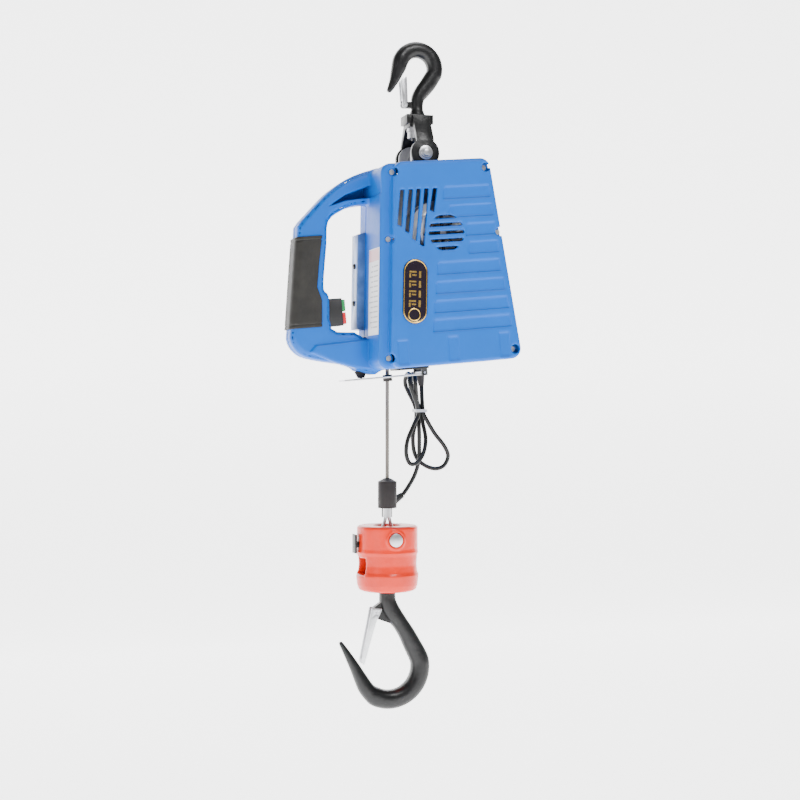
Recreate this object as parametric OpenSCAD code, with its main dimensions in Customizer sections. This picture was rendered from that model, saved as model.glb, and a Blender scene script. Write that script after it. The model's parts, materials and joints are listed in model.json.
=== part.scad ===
// Portable electric wire rope hoist: a two-part moulded casing with a hand grip hangs from a
// swivel hook, and a wire rope carries a block with a large latched hook below it.
// Millimetres, +Z up, +Y to the rear. The origin is the centre of the top hook's bowl.

/* [Suspension] */
// Lean of the casing about its suspension bolt, in degrees
hang_lean = 5; // [0:0.5:6]
// Distance from the top hook's bowl centre down to the suspension bolt
bolt_drop = 123; // [121:1:126]
// Radius of the top hook's inner saddle
top_saddle_r = 14.5; // [14:0.1:15]

/* [Casing] */
// Wall thickness of the moulded shells
wall = 3; // [2.5:0.1:3.2]
// Depth of the raised front face in front of the parting plane
front_depth = 85; // [84:1:87]
// Depth of the rear shell behind the parting plane
rear_depth = 75; // [74:1:78]
// Half thickness of the handle
handle_half = 20; // [19:0.5:21]
// Travel of the up and down buttons
button_travel = 3; // [2:0.5:3]

/* [Rope and drum] */
// Diameter of the wire rope
rope_d = 5; // [4:0.5:5]
// Radius of the drum's barrel
barrel_r = 30; // [29:0.5:31]
// Distance from the top hook's centre down to the rope stopper
stopper_drop = 573; // [565:1:580]

/* [Block and load hook] */
// Radius of the cast block
block_r = 42; // [41:0.5:43]
// Radius of the load hook's inner saddle
load_saddle_r = 31; // [30.5:0.1:31.5]

/* [Power cord] */
// Diameter of the power cord
cord_d = 6; // [5.5:0.1:6.2]

/* [Hidden] */
$fn = 48;

blue = "dodgerblue";
black = [0.08, 0.08, 0.09];
steel = [0.62, 0.64, 0.66];
zinc = [0.75, 0.76, 0.78];
orange = "orangered";

// Heights in the casing's own upright frame, whose origin is the suspension bolt
case_top = -16.5;
case_bottom = -290;
ledge_depth = front_depth - 12;
back_step = 34;
flank_slope = 27.6 / 273.5;
bolt_r = 5;
fit = 0.05;
lug_in = 26;
lug_out = 30;
ear_in = 33;
ear_out = 39;

// Drive train
rope_x = -43;
lay_r = barrel_r + rope_d / 2 + 0.866 * rope_d;
winding_r = lay_r + rope_d / 2;
motor_at = [5, -114];
drum_at = upright([rope_x + lay_r, -338]);
lay_module = 1.75;
drum_module = 2;
pinion_teeth = 12;
lay_teeth = 48;
drum_teeth = 51;
lay_reach = lay_module * (pinion_teeth + lay_teeth) / 2;
drum_reach = drum_module * (pinion_teeth + drum_teeth) / 2;
lay_at = triangle_point(motor_at, drum_at, lay_reach, drum_reach);
shaft_r = 6;

// Load side, on the rope's vertical line
stopper_z = -stopper_drop;
block_top = stopper_z - 60.5;
block_height = 90;
block_bottom = block_top - block_height;
pin_z = block_top - 17.5;
load_bowl = [rope_x + 3, block_bottom - 106.5];
load_pivot = [-19, 76];

screw_spots = [[-61, -29], [-74, -118], [-87, -276], [69, -29], [81.5, -117], [90, -277]];
rib_tops = [-54, -79, -104.5, -129, -154.5, -180, -205.5, -230.5];
rib_lefts = [6, 12, 34, 36, -11, -15, -19, -23];
rib_rights = [70, 72, 74, 76, 76, 80.5, 83.5, 85];
slot_tops = [-52, -40, -29, -18, -6];
slot_feet = [[-60, -102], [-50, -111], [-41, -122], [-31, -130], [-13, -85]];
post_spots = [[-50, -58], [54, -58], [56, -270], [-50, -274]];

handle_outline = [
    [-58, -15], [-78, -18], [-106, -27], [-136, -45], [-164, -70], [-180, -86], [-184, -103],
    [-203, -223], [-205, -240], [-200, -253], [-188, -264], [-163, -272], [-132, -279],
    [-119, -285], [-111, -290], [-80, -290], [-60, -200], [-50, -60]
];
hand_opening = [
    [-60, -62], [-98, -64], [-118, -70], [-138, -84], [-143, -115], [-150, -155], [-152, -176],
    [-152, -229], [-115, -236], [-80, -239]
];

cord_route = [
    [22, 48, -440], [23, 44, -476], [30, 43, -492], [41, 44, -509], [55, 45, -526], [62, 48, -541],
    [56, 50, -555], [43, 53, -559], [28, 58, -553], [17, 61, -540], [13, 60, -515], [17, 57, -476],
    [4, 66, -440], [3, 57, -425], [2, 40, -425], [0, 31, -440], [16, 43, -476],
    [9, 43, -496], [0, 43, -517], [-2, 44, -536], [3, 45, -550], [13, 46, -551], [24, 48, -539],
    [30, 53, -518], [27, 56, -495], [23, 57, -476], [13, 66, -440], [10.5, 57, -425], [8.5, 40, -425],
    [8, 31, -440], [17, 50, -476], [19, 50, -500], [20, 52, -525], [20, 54, -547], [15.5, 57, -566],
    [7.5, 59, -582], [-2, 60.5, -596]
];

// ---------- shared functions and modules ----------

// A point [x, z] of the whole hoist's frame, in the casing's upright frame
function upright(p) = [
    p.x * cos(hang_lean) + (p.y + bolt_drop) * sin(hang_lean),
    -p.x * sin(hang_lean) + (p.y + bolt_drop) * cos(hang_lean)
];
function unit(v) = v / norm(v);
// The point at given distances from a and from b, on the right of the line from a to b
function triangle_point(a, b, from_a, from_b) = let (
    span = norm(b - a),
    along = (from_a * from_a - from_b * from_b + span * span) / (2 * span),
    across = sqrt(from_a * from_a - along * along),
    way = unit(b - a)
) a + way * along + [-way.y, way.x] * across;
// Rounds the corners of an outline, each with a short curve that starts r from the corner
function rounded(points, r, steps = 5) = [
    for (i = [0 : len(points) - 1])
        let (
            b = points[i],
            u = unit(points[(i + len(points) - 1) % len(points)] - b),
            v = unit(points[(i + 1) % len(points)] - b)
        )
        for (k = [0 : steps])
            let (t = k / steps)
            (1 - t) * (1 - t) * (b + u * r) + 2 * t * (1 - t) * b + t * t * (b + v * r)
];
// Moves an outline inwards by d, for points in anticlockwise order
function inset(points, d) = [
    for (i = [0 : len(points) - 1])
        let (
            b = points[i],
            u = unit(b - points[(i + len(points) - 1) % len(points)]),
            v = unit(points[(i + 1) % len(points)] - b),
            m = unit([-u.y, u.x] + [-v.y, v.x])
        )
        b + m * d / (m * [-u.y, u.x])
];
function case_corners(d) = inset(
    [[76.6, case_top], [-74.4, case_top], [-102, case_bottom], [102, case_bottom]], d);
function face_corners(d) = inset(
    [[74.5, case_top], [-60, case_top], [-88, case_bottom], [100, case_bottom]], d);
function back_corners(d) = inset(
    [[74.5, case_top], [-62.4, case_top], [-90, case_bottom], [100, case_bottom]], d);
function case_outline(d) = rounded(case_corners(d), 16 - d);
function face_outline(d) = rounded(face_corners(d), 16 - d);
function back_outline(d) = rounded(back_corners(d), 16 - d);
function flank_x(z) = -74.4 + (z - case_top) * flank_slope;
cover_proud = 10.5;
cover_screw_z = [-145, -196];

// Sets its children, drawn in the casing's upright frame, at the casing's lean
module leaned() translate([0, 0, -bolt_drop]) rotate([0, -hang_lean, 0]) children();
// An outline in x and z, drawn out from y0 to y1
module slab(points, y0, y1)
    translate([0, y1, 0]) rotate([90, 0, 0]) linear_extrude(y1 - y0) polygon(points);
// A rod along y
module rod(r, y0, y1, at = [0, 0])
    translate([at.x, y0, at.y]) rotate([-90, 0, 0]) cylinder(r = r, h = y1 - y0);
module tube(r_out, r_in, y0, y1, at = [0, 0]) difference() {
    rod(r_out, y0, y1, at);
    rod(r_in, y0 - 1, y1 + 1, at);
}
// A rod along z
module post(r, z0, z1, at = [0, 0]) translate([at.x, at.y, z0]) cylinder(r = r, h = z1 - z0);
module block(x0, x1, y0, y1, z0, z1) translate([x0, y0, z0]) cube([x1 - x0, y1 - y0, z1 - z0]);

// Spur gear with short involute teeth, drawn as an outline about its axis
pressure = 25;
function involute(base, a) = base * [cos(a) + a * PI / 180 * sin(a), sin(a) - a * PI / 180 * cos(a)];
function turned(p, a) = [p.x * cos(a) - p.y * sin(a), p.x * sin(a) + p.y * cos(a)];
function mirrored(p) = [p.x, -p.y];
function gear_outline(m, teeth, phase) = let (
    pitch = m * teeth / 2,
    base = pitch * cos(pressure),
    tip = pitch + 0.75 * m,
    root = pitch - 0.95 * m,
    tip_roll = 180 / PI * sqrt(tip * tip / base / base - 1),
    pitch_roll = 180 / PI * tan(pressure),
    half_tooth = 90 / teeth - 9 / pitch + pitch_roll - pressure,
    first_roll = root > base ? 180 / PI * sqrt(root * root / base / base - 1) : 0,
    flank = [
        for (k = [0 : 3])
            turned(involute(base, first_roll + (tip_roll - first_roll) * k / 3), -half_tooth)
    ],
    foot = root > base ? [] : [turned([root, 0], -half_tooth - 0.3)],
    side = concat(foot, flank),
    last = len(side) - 1
) [
    for (i = [0 : teeth - 1])
        for (p = concat(side, [for (k = [last : -1 : 0]) mirrored(side[k])]))
            turned(p, phase + i * 360 / teeth)
];
module gear(m, teeth, bore, y0, y1, at, phase) difference() {
    translate([at.x, 0, at.y]) slab(gear_outline(m, teeth, phase), y0, y1);
    rod(bore, y0 - 1, y1 + 1, at);
}
function way_to(a, b) = atan2(b.y - a.y, b.x - a.x);

// Tube of eight sides, swept along a smooth curve through the route's points
function curve_point(p, i, t) = let (
    last = len(p) - 1,
    a = p[max(i - 1, 0)], b = p[i], c = p[i + 1], d = p[min(i + 2, last)]
) 0.5 * (2 * b + (c - a) * t + (2 * a - 5 * b + 4 * c - d) * t * t
    + (3 * b - a - 3 * c + d) * t * t * t);
function curve(p, parts) = concat(
    [for (i = [0 : len(p) - 2]) for (k = [0 : parts - 1]) curve_point(p, i, k / parts)],
    [p[len(p) - 1]]);
function carried(v, way) = unit(v - way * (v * way));
function side_ways(ways, i, found) = i == len(ways) ? found
    : side_ways(ways, i + 1, concat([for (f = found) f], [carried(found[i - 1], ways[i])]));
module swept_tube(line, r, sides = 8) {
    last = len(line) - 1;
    ways = [for (i = [0 : last]) unit(line[min(i + 1, last)] - line[max(i - 1, 0)])];
    side = side_ways(ways, 1, [carried([1, 0, 0], ways[0])]);
    points = [
        for (i = [0 : last])
            for (k = [0 : sides - 1])
                line[i] + r * (side[i] * cos(k * 360 / sides)
                    + cross(ways[i], side[i]) * sin(k * 360 / sides))
    ];
    faces = concat(
        [[for (k = [0 : sides - 1]) k]],
        [for (i = [0 : last - 1]) for (k = [0 : sides - 1])
            [i * sides + k, i * sides + sides + k,
             i * sides + sides + (k + 1) % sides, i * sides + (k + 1) % sides]],
        [[for (k = [sides - 1 : -1 : 0]) last * sides + k]]);
    polyhedron(points = points, faces = faces, convexity = 12);
}

// Part of a hook's bowl: a ring with a flat inner land, from angle a0 to a1 in the x and z plane
module bowl(centre, r_in, r_out, depth, a0, a1) translate([centre.x, 0, centre.y])
    rotate([90, 0, 0]) rotate([0, 0, a0]) rotate_extrude(angle = a1 - a0, $fn = 96) polygon([
        [r_in, -depth * 0.3], [r_in + 3, -depth * 0.46], [(r_in + r_out) / 2, -depth / 2],
        [r_out - 4, -depth * 0.36], [r_out, -depth * 0.14],
        [r_out, depth * 0.14], [r_out - 4, depth * 0.36], [(r_in + r_out) / 2, depth / 2],
        [r_in + 3, depth * 0.46], [r_in, depth * 0.3]
    ]);
// A short disc whose axis lies along the arm, used to build up a hook's arms
module arm_disc(x, z, half_width, half_depth, turn)
    translate([x, 0, z]) rotate([0, turn, 0]) scale([half_width / 10, half_depth / 10, 1])
        cylinder(r = 10, h = 0.6, center = true, $fn = 24);

// ---------- top hook and yoke ----------

module top_hook() color(black) difference() {
    top_hook_body();
    rod(top_saddle_r, -20, 20);
}
module top_hook_body() {
    bowl([0, 0], top_saddle_r - 0.3, 36.5, 20, -25, 165);
    hull() {
        arm_disc(23.2, -10, 11, 9.6, 25);
        arm_disc(13, -26, 10.5, 9, 35);
    }
    hull() {
        arm_disc(13, -26, 10.5, 9, 35);
        arm_disc(0, -43, 8, 8, 0);
    }
    hull() {
        arm_disc(-24.5, 6.3, 10.8, 9.8, -15);
        arm_disc(-30, -13, 6.5, 7, 25);
    }
    hull() {
        arm_disc(-30, -13, 6.5, 7, 25);
        arm_disc(-40, -33, 3, 4, 30);
    }
    post(8, -66, -42);
    translate([0, 0, -66]) cylinder(r1 = 11, r2 = 8, h = 8);
    post(8, -101, -65.5);
    difference() {
        block(-22, -5, -3.5, 3.5, -56, -47.5);
        rod(1.5, -10, 10, [-19, -52]);
    }
}
module top_latch_pin() color(steel) rod(1.5, -7.5, 7.5, [-19, -52]);
module top_latch() color(zinc) difference() {
    union() {
        for (side = [-1, 1])
            slab(rounded([[-15, -49], [-22.5, -50], [-25, -20], [-20, -13], [-16.5, -13.5]], 1.5, 3),
                side * 5 - 0.9, side * 5 + 0.9);
        slab([[-22, -46], [-20.6, -46], [-18.2, -13.3], [-19.6, -13.1]], -5, 5);
        for (side = [-1, 1]) rod(4, side * 5 - 0.9, side * 5 + 0.9, [-19, -52]);
    }
    rod(1.5 + fit, -8, 8, [-19, -52]);
}
module hook_nut() color(steel) difference() {
    post(13, -98, -89);
    post(8, -99, -88);
}
module swivel_bearing() color(steel) difference() {
    post(14, -88.7, -84);
    post(8 + fit, -90, -83);
}
module yoke() color(black) difference() {
    union() {
        block(-19, 19, -15, 15, -79, -66.5);
        block(-15, 15, -15, 15, -84, -78);
        for (side = [0, 180]) rotate([0, 0, side]) {
            translate([-12, 0, 0]) rotate([90, 0, 90]) linear_extrude(24)
                polygon([[-13, -68], [-19, -68], [-ear_out, -103], [-ear_out, -bolt_drop],
                    [-ear_in, -bolt_drop], [-ear_in, -105], [-14.5, -80]]);
            rod(20, -ear_out, -ear_in, [0, -bolt_drop]);
        }
    }
    post(8 + fit, -90, -60);
    rod(bolt_r, -45, 45, [0, -bolt_drop]);
}
module suspension_bolt() color(steel) {
    rod(bolt_r, -46, 50, [0, -bolt_drop]);
}
module bolt_washers() color(zinc) {
    tube(9.8, bolt_r, -41, -ear_out, [0, -bolt_drop]);
    tube(7, bolt_r, -43, -41, [0, -bolt_drop]);
    for (side = [-1, 1])
        tube(9.5, bolt_r, side * 31.6 - 1.4, side * 31.6 + 1.4, [0, -bolt_drop]);
}
module bolt_nut() color(zinc) difference() {
    translate([0, ear_out, -bolt_drop]) rotate([-90, 0, 0]) cylinder(r = 9, h = 8, $fn = 6);
    rod(bolt_r, 30, 60, [0, -bolt_drop]);
}

// ---------- casing ----------

module shell_screw_bores(y0, y1) for (spot = screw_spots) rod(2, y0, y1, spot);
module hand_loop(y0, y1) difference() {
    slab(handle_outline, y0, y1);
    slab(hand_opening, y0 - 1, y1 + 1);
}
module hand_loop_hollow(y0, y1) difference() {
    slab(inset(handle_outline, wall), y0, y1);
    slab(inset(hand_opening, -wall), y0 - 1, y1 + 1);
    slab(case_outline(0), y0 - 1, y1 + 1);
}
module case_cuts() {
    // Opening in the top for the suspension lugs and the yoke's ears
    block(-24, 24, -41, 41, -40, 0);
    // Rope outlet, cord gland seat and limit rod hole in the bottom
    post(7, -300, -270, [-68.5, 0]);
    post(7, -300, -270, [-6, 48]);
    post(4, -300, -280, [-107, 0]);
}
module front_shell() color(blue) leaned() difference() {
    union() {
        difference() {
            union() {
                slab(case_outline(0), -ledge_depth, 0);
                slab(face_outline(0), -front_depth, -ledge_depth);
                hand_loop(-handle_half, 0);
            }
            slab(case_outline(wall), wall - ledge_depth, 1);
            slab(face_outline(wall), wall - front_depth, 1);
            hand_loop_hollow(wall - handle_half, 1);
        }
        intersection() {
            for (spot = screw_spots) rod(6.5, -ledge_depth, 0, spot);
            slab(case_outline(1), -front_depth, 0);
        }
        for (spot = [[24, -205], [72, -205], [24, -265], [72, -265]]) rod(3, -83, -62, spot);
    }
    case_cuts();
    for (spot = screw_spots) rod(6.5, -front_depth - 1, -ledge_depth, spot);
    for (spot = screw_spots) rod(3.7, -front_depth, 2.5 - ledge_depth, spot);
    shell_screw_bores(-ledge_depth, 1);
    for (i = [0 : len(rib_tops) - 1])
        slab(rounded([[rib_rights[i], rib_tops[i]], [rib_lefts[i], rib_tops[i]],
            [rib_lefts[i] - 1.5, rib_tops[i] - 14.5], [rib_rights[i] + 1.5, rib_tops[i] - 14.5]], 3, 3),
            -front_depth - 1, 1.4 - front_depth);
    for (i = [0 : len(slot_tops) - 1])
        slab([[slot_tops[i] + 2.8, -54], [slot_tops[i] - 2.8, -54],
            [slot_feet[i].x - 2.8, slot_feet[i].y + 2], [slot_feet[i].x + 2.8, slot_feet[i].y - 1]],
            -front_depth - 1, -front_depth + wall + 1);
    for (row = [-2 : 2])
        intersection() {
            rod(25, -front_depth - 1, -front_depth + wall + 1, [5, -114]);
            block(-25, 35, -front_depth - 1, -front_depth + wall + 1,
                -116.2 + row * 10.6, -111.8 + row * 10.6);
        }
    for (x = [-76, -5, 68]) block(x, x + 14, -front_depth - 1, 1.2 - front_depth, -291, -254);
    slab(badge_outline(0.2), -front_depth - 1, 0.8 - front_depth);
}
module rear_shell() color(blue) leaned() difference() {
    union() {
        difference() {
            union() {
                slab(case_outline(0), 0, back_step);
                slab(back_outline(0), back_step, rear_depth);
                hand_loop(0, handle_half);
            }
            slab(case_outline(wall), -1, back_step - wall);
            slab(back_outline(wall), -1, rear_depth - wall);
            hand_loop_hollow(-1, handle_half - wall);
        }
        intersection() {
            for (spot = screw_spots) rod(6.5, 0, back_step - 1, spot);
            slab(case_outline(1), 0, back_step);
        }
        for (spot = post_spots) rod(5, 64, rear_depth - 1, spot);
    }
    case_cuts();
    shell_screw_bores(-1, 22);
    for (row = [0 : 6])
        for (x = [-40, 6]) block(x, x + 36, rear_depth - wall - 1, rear_depth + 1,
            -74 - row * 12, -69 - row * 12);
    for (row = [0 : 3])
        block(-60, 60, rear_depth - 1.2, rear_depth + 1, -192 - row * 24, -180 - row * 24);
}
function badge_outline(d) = let (half = 17 + d, long = 26) [
    for (a = [0 : 12 : 180]) [-46, -190] + turned([half * cos(a), long + half * sin(a)], -6),
    for (a = [180 : 12 : 360]) [-46, -190] + turned([half * cos(a), -long + half * sin(a)], -6)
];
module front_badge() color("goldenrod") leaned()
    slab(badge_outline(0), -front_depth - 0.7, 0.8 - front_depth);
module case_screws() color(zinc) leaned() for (spot = screw_spots) {
    rod(3.6, -ledge_depth, 2.5 - ledge_depth, spot);
    rod(1.95, 2.5 - ledge_depth, 18, spot);
}
module hand_grip() color(black) leaned() difference() {
    slab([[-151, -103], [-187.5, -103], [-206.5, -223], [-206.5, -226], [-163, -226],
        [-161, -190]], -handle_half - 2.5, handle_half + 2.5);
    slab(handle_outline, -handle_half, handle_half);
}
module switch_box() color(black) leaned() difference() {
    block(-152, -129, -14, 14, -226, -188.5);
    for (z = [-206.8, -224.3])
        block(-138.8 - button_travel, -128, -9.3, 9.3, z, z + 16.6);
}
module button(z0, z1) block(-138.7, -123, -9, 9, z0, z1);
module up_button() color("mediumseagreen") leaned() button(-206.5, -190.5);
module down_button() color("crimson") leaned() button(-224, -208);
module side_cover() color("steelblue") leaned() difference() {
    slab([[flank_x(-100), -100], [flank_x(-234), -234], [flank_x(-234) - cover_proud, -232],
        [flank_x(-100) - cover_proud, -102]], 3, back_step - 1);
    slab([[flank_x(-100) + 1, -103], [flank_x(-234) + 1, -231],
        [flank_x(-234) - cover_proud + 2, -230], [flank_x(-100) - cover_proud + 2, -104]],
        5, back_step - 3);
    for (z = cover_screw_z) cover_screw(z, 4, 4);
}
// A round body standing on the side cover at its screw's place
module cover_screw(z, r1, r2) translate([flank_x(z) - cover_proud, 18, z])
    rotate([0, -90 - atan(flank_slope), 0]) translate([0, 0, -0.6]) cylinder(r1 = r1, r2 = r2, h = 3);
module side_cover_screws() color(black) leaned() for (z = cover_screw_z) cover_screw(z, 3.9, 3);
module rating_plate() color("white") leaned()
    slab([[flank_x(-127), -127], [flank_x(-243), -243], [flank_x(-243) - 0.6, -243],
        [flank_x(-127) - 0.6, -127]], -69, -handle_half - 1);

// ---------- frame, drum and gears ----------

module frame_plate(y0, y1) difference() {
    union() {
        slab([[18, -1], [18, -24], [64, -44], [64, -287], [-78, -287], [-60, -44], [-18, -24],
            [-18, -1]], y0, y1);
        rod(18, y0, y1);
    }
    rod(bolt_r + fit, y0 - 1, y1 + 1);
    for (spot = post_spots) rod(3, y0 - 1, y1 + 1, spot);
}
module front_frame_plate() color(steel) leaned() difference() {
    frame_plate(-lug_out, -lug_in);
    rod(47, -40, -20, motor_at);
    rod(13, -40, -20, drum_at);
}
module rear_frame_plate() color(steel) leaned() difference() {
    frame_plate(lug_in, lug_out);
    rod(10, 20, 40, motor_at);
    rod(13, 20, 40, drum_at);
    rod(11, 20, 40, lay_at);
}
module gear_plate() color(steel) leaned() difference() {
    slab(rounded([[40, -62], [-30, -62], [-76, -200], [-76, -284], [68, -284], [68, -66]], 8, 3), 60, 64);
    rod(13, 50, 70, drum_at);
    rod(11, 50, 70, lay_at);
    for (spot = [post_spots[2], post_spots[3]]) rod(3, 50, 70, spot);
}
module frame_spacers() color(zinc) leaned() {
    for (spot = post_spots) rod(5, -lug_in, lug_in, spot);
    for (spot = [post_spots[2], post_spots[3]]) rod(5, lug_out, 60, spot);
}
module shaft_bearings() color(zinc) leaned() {
    tube(13, shaft_r + fit, -lug_out, -lug_in, drum_at);
    tube(13, shaft_r + fit, lug_in, lug_out, drum_at);
    tube(13, shaft_r + fit, 60, 64, drum_at);
    tube(11, 5 + fit, lug_in, lug_out, lay_at);
    tube(11, 5 + fit, 60, 64, lay_at);
    tube(10, 5 + fit, lug_in, lug_out, motor_at);
}
module drum() color("silver") leaned() difference() {
    union() {
        rod(barrel_r, -24, 24, drum_at);
        for (side = [-1, 1]) rod(45, side * 22 - 2, side * 22 + 2, drum_at);
    }
    rod(shaft_r, -30, 30, drum_at);
}
module rope_winding() color(zinc) leaned() difference() {
    for (turn = [0 : 7])
        rod(winding_r - 0.4 * (turn % 2), -20 + turn * 5, -15 + turn * 5, drum_at);
    rod(barrel_r, -21, 21, drum_at);
}
module drum_shaft() color(zinc) leaned() rod(shaft_r, -34, 67, drum_at);
module drum_gear() color(steel) leaned()
    gear(drum_module, drum_teeth, shaft_r, 46, 56, drum_at,
        way_to(drum_at, lay_at) + 180 / drum_teeth);
// The layshaft and its pinion are one turned and cut piece
module layshaft() color(zinc) leaned() {
    rod(5, 24.5, 66, lay_at);
    translate([lay_at.x, 0, lay_at.y])
        slab(gear_outline(drum_module, pinion_teeth, way_to(lay_at, drum_at)), 45, 57);
}
module layshaft_gear() color(steel) leaned()
    gear(lay_module, lay_teeth, 5, 34, 42, lay_at, way_to(lay_at, motor_at) + 180 / lay_teeth);

// ---------- motor ----------

module motor_case() color(zinc) leaned() union() {
    tube(46, 44, -60, 26, motor_at);
    tube(46, 30, -62, -60, motor_at);
    tube(34.5, 31, -78, -62, motor_at);
    tube(31.5, 5.5, -57, -54, motor_at);
    tube(44.5, 31, -60, -57, motor_at);
    tube(45, 11, 23, 26, motor_at);
    for (a = [0 : 60 : 300])
        translate([motor_at.x, -57, motor_at.y]) rotate([0, a, 0]) block(29, 45, 0, 3, -3, 3);
}
module motor_stator() color([0.35, 0.33, 0.32]) leaned() difference() {
    rod(44, -45, 8, motor_at);
    rod(27, -50, 12, motor_at);
}
module motor_rotor() color([0.55, 0.42, 0.3]) leaned() tube(26, 5, -44, 7, motor_at);
module motor_shaft() color(zinc) leaned() rod(5, -70, 44, motor_at);
module motor_pinion() color(steel) leaned()
    gear(lay_module, pinion_teeth, 5, 33, 43, motor_at, way_to(motor_at, lay_at));
module cooling_fan() color(black) leaned() {
    tube(9, 5, -72, -60, motor_at);
    for (a = [0 : 45 : 315])
        translate([motor_at.x, -71, motor_at.y]) rotate([0, a, 0]) block(8.5, 28, 0, 10, -0.8, 0.8);
}
module capacitor() color([0.15, 0.15, 0.17]) leaned() {
    rod(14, -78, -36, [66, -172]);
    for (x = [61, 71]) rod(3, -36, -32, [x, -172]);
}
module control_board() color("darkgreen") leaned() {
    block(18, 78, -62, -60.4, -271, -199);
    block(24, 44, -60.4, -44, -262, -236);
    block(50, 70, -60.4, -44, -262, -236);
}

// ---------- limit plate and cord ----------

limit_hinge = [-21, -299];
module limit_bracket() color(black) leaned() {
    block(-58, -15, -22, 22, -293.5, -290);
    difference() {
        for (side = [-1, 1]) block(-25, -17, side * 18.5 - 1.5, side * 18.5 + 1.5, -303, -292);
        rod(1.5, -30, 30, limit_hinge);
    }
}
module limit_pin() color(zinc) leaned() rod(1.5, -20.5, 20.5, limit_hinge);
module limit_plate() color(steel) leaned() difference() {
    union() {
        block(-134.5, -21, -16, 16, -302.3, -300);
        rod(3.3, -16, 16, limit_hinge);
    }
    rod(1.5 + fit, -20, 20, limit_hinge);
    post(6.5, -310, -295, [-69.3, 0]);
}
module plate_bush() color(black) leaned() difference() {
    post(6.5, -307, -298, [-69.3, 0]);
    post(4, -308, -297, [-69.3, 0]);
}
module limit_rod() color(zinc) leaned() post(1.5, -300, -272, [-107, 0]);
module limit_boot() color(black) leaned() difference() {
    translate([-107, 0, -299.5]) cylinder(r1 = 4.6, r2 = 9, h = 9.5);
    post(3.8, -301, -285, [-107, 0]);
}
module limit_switch() color("dimgray") leaned()
    slab([[flank_x(-244), -244], [-117, -244], [-117, -264], [flank_x(-264), -264]], -8, 8);
module cord_gland() color(black) leaned() translate([-6, 48, 0]) difference() {
    union() {
        post(10, -287, -284);
        post(7, -290, -286);
        translate([0, 0, -318]) cylinder(r1 = 3.9, r2 = 7.5, h = 28);
    }
    post(3, -312, -283);
}
module power_cord() color(black) swept_tube(curve(cord_route, 2), cord_d / 2);
module cord_tie() color("lightgray") translate([20, 50, -478]) linear_extrude(4) difference() {
    polygon(rounded([[8.5, 12.5], [-8.5, 12.5], [-8.5, -12.5], [8.5, -12.5]], 5, 4));
    polygon(rounded([[7, 11], [-7, 11], [-7, -11], [7, -11]], 4, 4));
}
module mains_plug() color(black) {
    translate([-2, 60.5, -596]) rotate([11, 55, 0]) translate([0, 0, -20])
        cylinder(r1 = 6.5, r2 = 4, h = 20);
    block(-34, -12, 57, 75, -611, -589);
    for (x = [-31, -19]) block(x, x + 2, 63, 69, -628, -610);
}

// ---------- rope, block and load hook ----------

rope_start = -338 - 21;
module rope_fall() color(steel) post(rope_d / 2, stopper_z - 44, rope_start, [rope_x, 0]);
module rope_stopper() color([0.2, 0.18, 0.18]) translate([rope_x, 0, 0]) difference() {
    union() {
        post(13, stopper_z - 37, stopper_z);
        translate([0, 0, stopper_z]) cylinder(r1 = 12, r2 = 4, h = 4.5);
    }
    post(rope_d / 2, stopper_z - 40, stopper_z + 10);
}
module rope_end_fitting() color(zinc) {
    difference() {
        post(5.6, stopper_z - 50, stopper_z - 37, [rope_x, 0]);
        post(rope_d / 2, stopper_z - 44, stopper_z, [rope_x, 0]);
    }
    for (side = [-1, 1]) translate([rope_x + side * 2, 0, stopper_z - 48])
        rotate([0, 180 - side * 15, 0]) cylinder(r = 2.4, h = 27);
    translate([rope_x, 0, pin_z]) rotate([90, 0, 0]) rotate_extrude() translate([9.7, 0])
        circle(r = 2.6);
}
module block_casting() color(orange) translate([rope_x, 0, 0]) difference() {
    rotate_extrude($fn = 96) polygon([
        [0, block_bottom], [30, block_bottom], [38, block_bottom + 3], [block_r, block_bottom + 9],
        [block_r + 1.5, block_bottom + 24], [block_r - 0.5, block_bottom + 29],
        [block_r - 1.5, block_bottom + 40], [block_r - 0.5, block_top - 40], [block_r + 0.6, block_top - 36],
        [block_r, block_top - 32], [block_r, block_top - 3], [block_r - 3, block_top], [0, block_top]
    ]);
    post(18, block_top - 38, block_top + 1);
    post(28, block_bottom + 22, block_bottom + 48);
    post(11 + fit, block_bottom - 1, block_bottom + 30);
    post(6, block_bottom + 40, block_top - 30);
    translate([0, 0, pin_z]) rotate([90, 0, 0]) cylinder(r = 6, h = 100, center = true);
    translate([0, -block_r + 1.5, pin_z]) rotate([90, 0, 0]) cylinder(r = 10, h = 10);
    block(-50, -20, -17, 17, block_bottom + 23, block_bottom + 46);
}
module block_pin() color(zinc) translate([rope_x, 0, pin_z]) {
    rotate([90, 0, 0]) cylinder(r = 6, h = 84, center = true);
    translate([0, 1.5 - block_r, 0]) rotate([90, 0, 0]) cylinder(r = 9.3, h = 3.5);
}
module block_clip() color(black) translate([rope_x, 0, 0]) {
    block(-block_r - 6, -block_r - 3.5, -8, 8, pin_z - 20, pin_z + 6);
    block(-block_r - 6, -block_r + 1, -6, 6, pin_z - 12, pin_z - 4);
}
module load_hook() color(black) translate([load_bowl.x, 0, load_bowl.y]) difference() {
    load_hook_body();
    rod(load_saddle_r, -20, 20);
    rod(2, -10, 10, load_pivot);
}
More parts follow.
